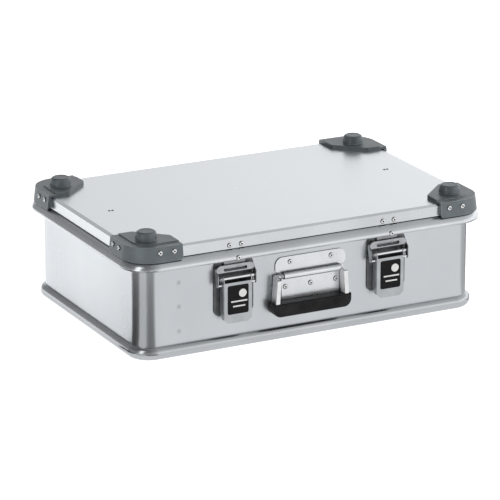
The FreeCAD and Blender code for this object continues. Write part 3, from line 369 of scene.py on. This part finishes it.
def rivet_pattern():
    """The mesh of one rivet head, standing on z = 0, made from a thin disc; its outer ring and stem
    hole carry the painted shade.
    """
    bpy.ops.mesh.primitive_cylinder_add(vertices=28, radius=rivet_radius, depth=disc_thick,
                                        location=(0, 0, disc_thick / 2))
    rivet = bpy.context.object
    rivet.data.materials.append(rivet_metal)
    rivet.data.materials.append(rivet_painted_shade)
    mesh = edit(rivet)
    for face in mesh.faces:
        face.material_index = 1
        face.select_set(face.normal.z > 0.9)
    bmesh.update_edit_mesh(rivet.data)
    lift(rivet_rise * 0.38, rim=0.0005)
    colour_selected(mesh, 0)
    lift(rivet_rise * 0.30, rim=0.0008)
    lift(rivet_rise * 0.12, rim=0.0009)
    lift(-0.0001, rim=0.0002)
    colour_selected(mesh, 1)
    lift(-stem_hole, rim=0.0001)
    close_edit(rivet, 50)
    bpy.ops.object.select_all(action="DESELECT")
    rivet.select_set(True)
    bpy.ops.object.transform_apply(location=True, rotation=True, scale=True)
    head = rivet.data
    bpy.data.objects.remove(rivet)
    return head


rivet_mesh = rivet_pattern()


def set_rivets(node, places):
    """Sets a head at each place; a place is a point and the way the head faces."""
    heads = []
    for number, (spot, facing) in enumerate(places):
        head = bpy.data.objects.new(f"{node}_head_{number}", rivet_mesh.copy())
        bpy.context.scene.collection.objects.link(head)
        turn = Vector(facing).normalized().to_track_quat("Z", "Y").to_matrix().to_4x4()
        head.data.transform(Matrix.Translation(Vector(spot)) @ turn)
        heads.append(head)
    bpy.ops.object.select_all(action="DESELECT")
    for head in heads:
        head.select_set(True)
    bpy.context.view_layer.objects.active = heads[0]
    bpy.ops.object.join()
    group = bpy.context.view_layer.objects.active
    group.name = node + "_heads"
    group.select_set(False)
    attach(group, body_of_node[node])
    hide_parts(node)


# The casting's skirt leans in by skirt_lean from its foot to its top, and the rivets' insets are
# measured from the ends of the side that they sit on.
half_length, half_width = cad_high.x, cad_high.y
skirt_foot, skirt_top = 0.1532, 0.1764
skirt_foot_out = 0.0155
skirt_lean = 0.0030
rivet_level = 0.1672
facing_up = skirt_lean / (skirt_top - skirt_foot)
skirt_out = skirt_foot_out - facing_up * (rivet_level - skirt_foot)
long_side_insets = (0.047, 0.0696)
short_side_insets = (0.0565, 0.077)
casting_places = []
for side_x in (-1, 1):
    for side_y in (-1, 1):
        for inward in long_side_insets:
            casting_places.append(((side_x * (half_length - inward), side_y * (wall_high.y + skirt_out),
                                    rivet_level), (0, side_y, facing_up)))
        for inward in short_side_insets:
            casting_places.append(((side_x * (wall_high.x + skirt_out), side_y * (half_width - inward),
                                    rivet_level), (side_x, 0, facing_up)))
set_rivets("casting_rivets", casting_places)

forward = (0, -1, 0)
latch_x = 0.12825
catch_level = (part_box("catch_rivets")[0].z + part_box("catch_rivets")[1].z) / 2
band_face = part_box("lid_frame")[0].y
catch_shift = 0.00965
set_rivets("catch_rivets", [((side * latch_x + shift, band_face, catch_level), forward)
                            for side in (-1, 1) for shift in (-catch_shift, catch_shift)])

rim_seat = 0.0005
rim_level = (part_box("rim_rivets")[0].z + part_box("rim_rivets")[1].z) / 2
set_rivets("rim_rivets", [((side * latch_x, rim_seat - half_width, rim_level), forward)
                          for side in (-1, 1)])

plate_thick = 0.002
plate_shift = 0.0117
plate_levels = (0.061, 0.0964)
set_rivets("latch_base_rivets", [((side * latch_x + shift, wall_low.y - plate_thick, level), forward)
                                 for side in (-1, 1) for shift in (-plate_shift, plate_shift)
                                 for level in plate_levels])

# The two rows of the mount's rivets: each one's level and its places across.
mount_thick = 0.0016
mount_rows = ((0.1186, (-0.0345, 0.0345)), (0.0809, (-0.0424, 0, 0.0424)))
set_rivets("handle_rivets", [((across, wall_low.y - mount_thick, level), forward)
                             for level, row in mount_rows for across in row])


# ---- Latches --------------------------------------------------------------------------------------
# Toggle latches pressed from zinc-plated steel: a base plate with two lugs, a box-shaped lever with a
# label plate let into its face, and a link that hooks over the catch on the lid's band.
plated = new_surface("plated_steel", Metallic=1.0)
plated_grain = noise(plated, 1.0, 4.0, (90, 90, 1100))
plated_clouds = noise(plated, 60.0, 3.0)
tint(plated, plated_clouds, (0.26, 0.27, 0.28), (0.36, 0.37, 0.38))
roughen(plated, plated_clouds, 0.26, 0.38)
relief(plated, (plated_grain, 8e-6), (plated_clouds, 2e-5))

# The base plate is far darker than the plated steel it is pressed from: painted shade, so that it reads
# dark through the gaps behind the link and the lever.
latch_base_painted_shade = new_surface("latch_base_painted_shade", Metallic=0.9)
latch_base_shade_clouds = noise(latch_base_painted_shade, 60.0, 3.0)
tint(latch_base_painted_shade, latch_base_shade_clouds, (0.10, 0.105, 0.11), (0.17, 0.175, 0.18))
roughen(latch_base_painted_shade, latch_base_shade_clouds, 0.26, 0.38)
relief(latch_base_painted_shade, (latch_base_shade_clouds, 1e-5))

# Near black for sheared sides, broken edges and the lid's stay rivets: painted shade that draws dark
# outlines round the latch and handle parts.
painted_edge_shade = new_surface("painted_edge_shade", Metallic=0.7)
edge_shade_grain = noise(painted_edge_shade, 500.0, 3.0)
tint(painted_edge_shade, edge_shade_grain, (0.03, 0.032, 0.035), (0.08, 0.083, 0.086))
roughen(painted_edge_shade, edge_shade_grain, 0.4, 0.6)

link_metal = new_surface("link_metal", Metallic=1.0)
link_clouds = noise(link_metal, 90.0, 4.0)
tint(link_metal, link_clouds, (0.36, 0.37, 0.385), (0.48, 0.49, 0.505))
roughen(link_metal, link_clouds, 0.14, 0.24)
relief(link_metal, (link_clouds, 2e-5))

lever_metal = new_surface("lever_metal", Metallic=0.9)
lever_grain = noise(lever_metal, 900.0, 3.0)
lever_clouds = noise(lever_metal, 45.0, 3.0)
tint(lever_metal, lever_clouds, (0.40, 0.42, 0.44), (0.50, 0.52, 0.54))
roughen(lever_metal, lever_clouds, 0.34, 0.46)
relief(lever_metal, (lever_grain, 1e-5))

chrome = new_surface("chrome_plate", Metallic=1.0)
chrome_clouds = noise(chrome, 120.0, 4.0)
tint(chrome, chrome_clouds, (0.72, 0.73, 0.74), (0.82, 0.825, 0.83))
roughen(chrome, chrome_clouds, 0.07, 0.14)
relief(chrome, (chrome_clouds, 2e-5))

label_black = new_surface("label_black", Metallic=0.0, Specular_IOR_Level=0.06)
label_grain = noise(label_black, 1600.0, 3.0)
tint(label_black, label_grain, (0.006, 0.006, 0.007), (0.018, 0.018, 0.019))
roughen(label_black, label_grain, 0.30, 0.42)
relief(label_black, (label_grain, 1e-5))

label_pale = new_surface("label_pale", Metallic=0.0)
pale_grain = noise(label_pale, 1200.0, 3.0)
tint(label_pale, pale_grain, (0.60, 0.60, 0.59), (0.74, 0.74, 0.73))
roughen(label_pale, pale_grain, 0.45, 0.6)

spring_steel = new_surface("spring_steel", Metallic=1.0)
spring_grain = noise(spring_steel, 1500.0, 2.0)
tint(spring_steel, spring_grain, (0.50, 0.51, 0.52), (0.66, 0.67, 0.68))
roughen(spring_steel, spring_grain, 0.18, 0.30)

# Each mark of a label: its name, how far right of the latch's middle it lies, its level, its width
# and its height.
label_marks = (("field", 0.0075, 0.0878, 0.0125, 0.0125),
               ("line_upper", 0.0015, 0.0760, 0.0265, 0.0022),
               ("line_lower", 0.0015, 0.0685, 0.0200, 0.0022))
mark_thick = 0.0002
mark_out = 0.00005


def label_mark(kind, side, across, level, wide, high):
    """A pale printed bar, or a disc when it is as high as wide, a hair proud of the label plate."""
    place = (across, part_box("latch_inlay_" + side)[0].y - mark_out, level)
    if wide == high:
        bpy.ops.mesh.primitive_cylinder_add(vertices=40, radius=wide / 2, depth=mark_thick,
                                            location=place, rotation=(math.radians(90), 0, 0))
    else:
        bpy.ops.mesh.primitive_cube_add(size=1, location=place, scale=(wide, mark_thick, high))
    mark = bpy.context.object
    mark.name = f"label_{kind}_{side}"
    bpy.ops.object.transform_apply(location=True, rotation=True, scale=True)
    mark.data.materials.append(label_pale)
    mark.select_set(False)
    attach(mark, "lever_" + side)


for side, centre in (("left", -latch_x), ("right", latch_x)):
    dressed("latch_base_" + side, latch_base_painted_shade, edge=0.0004, angle=40, sides=painted_edge_shade)
    dressed("latch_lever_" + side, lever_metal, edge=0.0005, segments=3, angle=40, rims=painted_edge_shade)
    dressed("latch_inlay_" + side, label_black, edge=0.0002, angle=40)
    dressed("latch_link_" + side, link_metal, edge=0.0005, segments=3, angle=40, rims=painted_edge_shade)
    dressed("latch_link_pin_" + side, chrome, edge=0.0003, angle=40)
    dressed("latch_pivot_pin_" + side, chrome, edge=0.0003, angle=40)
    dressed("latch_spring_" + side, spring_steel)
    dressed("lid_catch_" + side, plated, edge=0.0003, angle=40)
    for kind, across, level, wide, high in label_marks:
        label_mark(kind, side, centre + across, level, wide, high)


# ---- Plates under the lid -------------------------------------------------------------------------
# Two small steel plates inside the lid, each held by a pair of blind rivets whose heads show on the
# lid's top as dark dots of painted shade.
paint(lever_metal, "stay_plate_left", "stay_plate_right")
paint(painted_edge_shade, "stay_rivets")


# ---- Handle ---------------------------------------------------------------------------------------
# A stamped plate holds the bar in its fold. The bail is bright drawn steel with channel legs, and
# the grip is black moulded plastic over their ends.
bright_steel = new_surface("bright_steel", Metallic=1.0)
steel_lines = noise(bright_steel, 1.0, 4.0, (1200, 1200, 12))
steel_clouds = noise(bright_steel, 80.0, 3.0)
tint(bright_steel, steel_clouds, (0.74, 0.75, 0.76), (0.84, 0.85, 0.86))
roughen(bright_steel, steel_clouds, 0.12, 0.22)
relief(bright_steel, (steel_lines, 6e-6))

# The bail's sheared sides get a pale, rougher, less metallic tone: painted light, so that sides which
# would mirror the dark wall read bright.
leg_side_painted_light = new_surface("leg_side_painted_light", Metallic=0.3)
leg_side_light_clouds = noise(leg_side_painted_light, 80.0, 3.0)
tint(leg_side_painted_light, leg_side_light_clouds, (0.78, 0.79, 0.80), (0.88, 0.885, 0.89))
roughen(leg_side_painted_light, leg_side_light_clouds, 0.35, 0.45)

mount_sheet = new_surface("mount_sheet", Metallic=1.0)
mount_lines = noise(mount_sheet, 1.0, 4.0, (6, 6, 700))
mount_clouds = noise(mount_sheet, 30.0, 3.0)
tint(mount_sheet, mount_clouds, (0.70, 0.72, 0.74), (0.78, 0.80, 0.82))
roughen(mount_sheet, mount_clouds, 0.24, 0.30)
relief(mount_sheet, (mount_lines, 1e-6))

grip_plastic = new_surface("grip_plastic", Metallic=0.0, Specular_IOR_Level=0.10)
grip_grain = noise(grip_plastic, 1800.0, 3.0)
grip_clouds = noise(grip_plastic, 50.0, 3.0)
tint(grip_plastic, grip_clouds, (0.008, 0.008, 0.009), (0.020, 0.020, 0.021))
roughen(grip_plastic, grip_clouds, 0.34, 0.46)
relief(grip_plastic, (grip_grain, 2e-5))

dressed("handle_mount", mount_sheet, edge=0.0003, angle=40, sides=painted_edge_shade)
dressed("handle_bail", bright_steel, edge=0.0006, angle=40, sides=leg_side_painted_light, rims=painted_edge_shade)
dressed("handle_grip", grip_plastic, edge=0.0008, segments=3, angle=40)
dressed("handle_spring", spring_steel)


# ---- Hinges ---------------------------------------------------------------------------------------
# Two plain butt hinges of plated steel at the back, each with three knuckles on one pin. One leaf
# lies on the mouth profile and the other on the lid's band.
for side in ("left", "right"):
    dressed("hinge_leaf_lower_" + side, plated, edge=0.0003, angle=40)
    dressed("hinge_leaf_upper_" + side, plated, edge=0.0003, angle=40)
    dressed("hinge_pin_" + side, chrome, edge=0.0003, angle=40)


# ---- Studio ---------------------------------------------------------------------------------------
# A white floor under a pale surround that darkens overhead, with three large soft lights. Cards that
# only reflections show put painted shade into the polished walls, corners and foot, and one bright card
# puts a painted highlight on the near corner.
floor_material = new_surface("floor_paper", Metallic=0.0, Roughness=0.9, Emission_Strength=0.80)
floor_material.node_tree.nodes["Principled BSDF"].inputs["Emission Color"].default_value = (1, 1, 1, 1)
floor_noise = noise(floor_material, 2.0, 2.0)
tint(floor_material, floor_noise, (0.90, 0.90, 0.90), (0.92, 0.92, 0.92))
bpy.ops.mesh.primitive_plane_add(size=60, location=(0, 0, -0.0005))
floor = bpy.context.object
floor.name = "floor"
floor.data.materials.append(floor_material)


def card_surface(name, tone):
    """A card that gives back one tone whatever light falls on it."""
    surface = new_surface(name, Metallic=0.0, Roughness=0.9, Emission_Strength=tone)
    shader = surface.node_tree.nodes["Principled BSDF"]
    shader.inputs["Emission Color"].default_value = (1, 1, 1, 1)
    tint(surface, noise(surface, 30.0, 2.0), (0.01, 0.01, 0.01), (0.02, 0.02, 0.02))
    return surface


def hide_card(card, tone):
    """Gives a card its tone and leaves it in reflections only."""
    card.data.materials.append(card_surface(card.name, tone))
    card.visible_camera = card.visible_diffuse = card.visible_shadow = False


def flat_card(name, place, size, tone):
    """A plain card; its place is a matrix."""
    bpy.ops.mesh.primitive_plane_add(size=1)
    card = bpy.context.object
    card.name = name
    card.data.transform(place @ Matrix.Diagonal((*size, 1, 1)))
    hide_card(card, tone)


# A corner card begins and ends this far from the middle of the corner's bend, just over the floor.
fan_begin, fan_end = 0.055, 0.62
fan_level = 0.0005


def corner_card(name, corner, heading, half_angle, tone):
    """A card on the floor that widens away from a corner."""
    near_width = 2 * fan_begin * math.tan(math.radians(half_angle))
    bpy.ops.mesh.primitive_plane_add(size=1)
    card = bpy.context.object
    card.name = name
    mesh = edit(card)
    bpy.ops.mesh.select_mode(type="VERT")
    for vertex in mesh.verts:
        vertex.select_set(vertex.co.x > 0)
    mesh.select_flush_mode()
    bmesh.update_edit_mesh(card.data)
    bpy.ops.transform.resize(value=(1, fan_end / fan_begin, 1))
    bpy.ops.object.mode_set(mode="OBJECT")
    card.data.transform(Matrix.Translation((*corner, fan_level))
                        @ Matrix.Rotation(math.radians(heading), 4, "Z")
                        @ Matrix.Translation(((fan_begin + fan_end) / 2, 0, 0))
                        @ Matrix.Diagonal((fan_end - fan_begin, near_width, 1, 1)))
    hide_card(card, tone)


# Painted shade in reflections: a card under the case, a hair wider than its foot, stands in for a
# contact shadow on the floor.
flat_card("card_round_case", Matrix.Translation((0, 0, 0.0002)), (0.602, 0.402), 0.95)
near_corner = (-0.253, -0.153)
corner_card("card_left", near_corner, heading=163, half_angle=30, tone=0.03)
corner_card("card_middle", near_corner, heading=213.5, half_angle=17.5, tone=0.60)
corner_card("card_front", near_corner, heading=256, half_angle=23, tone=0.14)
far_corner = (0.253, -0.153)
corner_card("card_right", far_corner, heading=352, half_angle=22, tone=0.50)
corner_card("card_edge", far_corner, heading=40, half_angle=24, tone=0.10)
flat_card("card_before_front", Matrix.Translation((0.75, -1.20, 0.0003)), (2.2, 2.0), 0.92)
# A bright card seen only in reflections: a painted highlight on the near corner's mouth profile and
# foot.
glow_place = Vector((-2.2, -1.15, 1.20))
glow_turn = (-glow_place).to_track_quat("Z", "Y").to_matrix().to_4x4()
flat_card("card_corner_glow", Matrix.Translation(glow_place) @ glow_turn, (0.75, 2.2), 1.9)

world = bpy.data.worlds.new("surround")
bpy.context.scene.world = world
world.use_nodes = True
way = world.node_tree.nodes.new("ShaderNodeTexCoord")
split = world.node_tree.nodes.new("ShaderNodeSeparateXYZ")
background = world.node_tree.nodes["Background"]
world.node_tree.links.new(way.outputs["Generated"], split.inputs[0])


def world_ramp(axis, stops):
    """Tones of the surround along one axis of the way looked."""
    ramp = world.node_tree.nodes.new("ShaderNodeValToRGB")
    half = world.node_tree.nodes.new("ShaderNodeMapRange")
    half.inputs["From Min"].default_value = -1.0
    world.node_tree.links.new(split.outputs[axis], half.inputs["Value"])
    world.node_tree.links.new(half.outputs["Result"], ramp.inputs["Fac"])
    elements = ramp.color_ramp.elements
    while len(elements) < len(stops):
        elements.new(0.5)
    for element, (place, tone) in zip(elements, stops):
        element.position = (place + 1) / 2
        element.color = (tone, tone, tone, 1)
    return ramp


# Each stop is a height or a side between -1 and 1, and the tone there.
tones_up = ((-0.1, 0.8), (0.20, 1.0), (0.34, 1.0), (0.46, 0.60), (0.70, 0.54), (1.0, 0.40))
tones_across = ((-0.6, 0.25), (-0.25, 0.29), (0.33, 0.74), (0.52, 1.0))
by_height = world_ramp("Z", tones_up)
by_side = world_ramp("X", tones_across)
blend = world.node_tree.nodes.new("ShaderNodeMix")
blend.data_type, blend.blend_type = "RGBA", "MULTIPLY"
blend.inputs["Factor"].default_value = 1.0
world.node_tree.links.new(by_height.outputs["Color"], blend.inputs["A"])
world.node_tree.links.new(by_side.outputs["Color"], blend.inputs["B"])
world.node_tree.links.new(blend.outputs["Result"], background.inputs["Color"])
background.inputs["Strength"].default_value = 1.4


def soft_light(name, place, target, size, power):
    """A large lamp that polished metal does not mirror."""
    data = bpy.data.lights.new(name, "AREA")
    data.shape, data.size, data.size_y, data.energy = "RECTANGLE", size[0], size[1], power
    lamp = bpy.data.objects.new(name, data)
    bpy.context.scene.collection.objects.link(lamp)
    lamp.location = place
    lamp.rotation_euler = (Vector(target) - Vector(place)).to_track_quat("-Z", "Y").to_euler()
    lamp.visible_glossy = False


soft_light("left_light", (-2.6, -0.8, 1.7), (0, 0, 0.1), size=(1.2, 0.9), power=3.5)
soft_light("right_light", (2.4, -2.2, 1.6), (0, 0, 0.1), size=(1.2, 1.0), power=6)
soft_light("overhead", (0.4, -0.6, 4.0), (0, 0, 0), size=(5.0, 5.0), power=28)
bpy.context.scene.view_settings.view_transform = "Standard"
